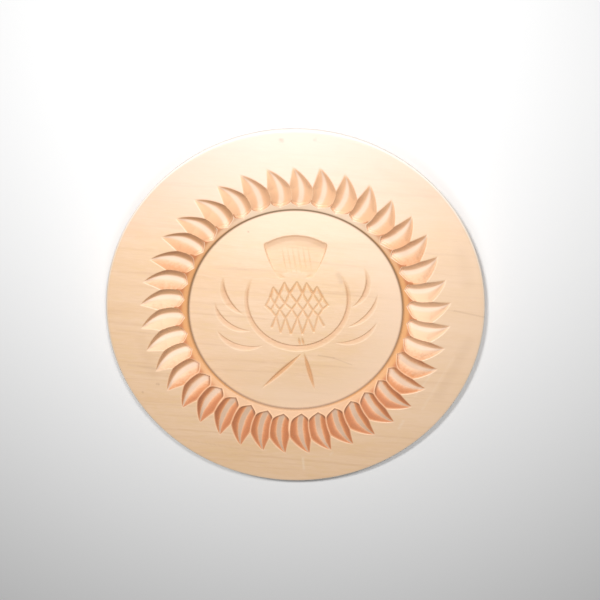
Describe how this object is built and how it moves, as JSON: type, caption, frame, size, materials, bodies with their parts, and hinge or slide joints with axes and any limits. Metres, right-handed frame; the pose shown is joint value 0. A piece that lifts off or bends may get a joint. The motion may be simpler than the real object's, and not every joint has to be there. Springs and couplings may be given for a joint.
{
  "type": "butter mold",
  "caption": "Round turned wooden mould for butter or shortbread, with a sunk field carved with a thistle and a sloping wall cut into a ring of gouge flutes.",
  "frame": {"origin": "centre of the flat back, which is the face the mould rests on", "axes": "+Z out of the carved face, +Y the way the thistle grows, +X to the right of the thistle as it is looked at"},
  "size_m": [0.19, 0.19, 0.02],
  "materials": {
    "sycamore": "bare close-grained hardwood, hand-sanded, lightly oiled, satin"
  },
  "bodies": {
    "root": {"mold_board": "sycamore"}
  },
  "joints": []
}
